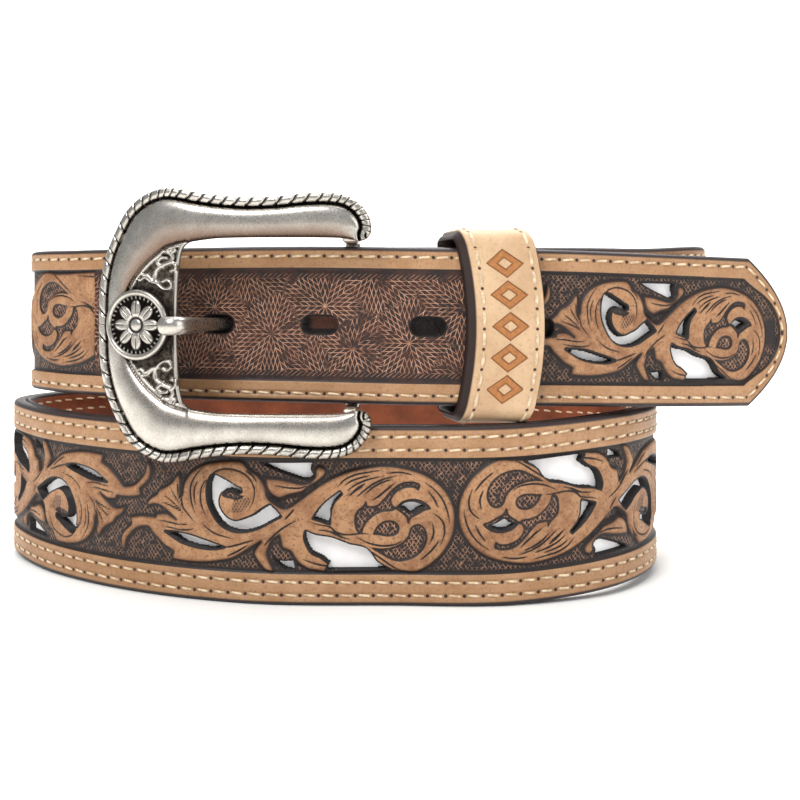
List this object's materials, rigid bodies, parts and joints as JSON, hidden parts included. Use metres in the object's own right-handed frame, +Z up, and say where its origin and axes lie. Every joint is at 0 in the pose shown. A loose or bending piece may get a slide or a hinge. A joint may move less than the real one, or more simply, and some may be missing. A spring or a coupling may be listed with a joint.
{
  "type": "western tooled belt",
  "caption": "Pierced and tooled leather belt with a C-shaped cast buckle and a keeper, buckled and wound in two turns on its edge.",
  "frame": {"origin": "middle of the coil's bounding box, on the surface that the strap's edge stands on", "axes": "+Z up across the strap's width, -Y towards the viewer and the buckle, +X right towards the free end"},
  "size_m": [0.2074, 0.1188, 0.0965],
  "materials": {
    "tooled_leather": "carved and stamped vegetable-tanned leather, dark antiqued ground, tan relief",
    "lining_leather": "smooth rust-brown lining leather with painted edges",
    "inlay_leather": "smooth off-white leather",
    "keeper_leather": "natural vegetable-tanned leather, stitched near both edges",
    "antique_silver": "antiqued silver plate on cast zinc alloy"
  },
  "bodies": {
    "root": {"tooled_overlay": "tooled_leather", "strap_lining": "lining_leather", "body_inlay": "inlay_leather", "billet_inlay": "inlay_leather", "buckle_fold": "lining_leather", "keeper": "keeper_leather", "buckle_frame": "antique_silver", "buckle_prong": "antique_silver", "snap_1": "antique_silver", "snap_2": "antique_silver"}
  },
  "joints": []
}
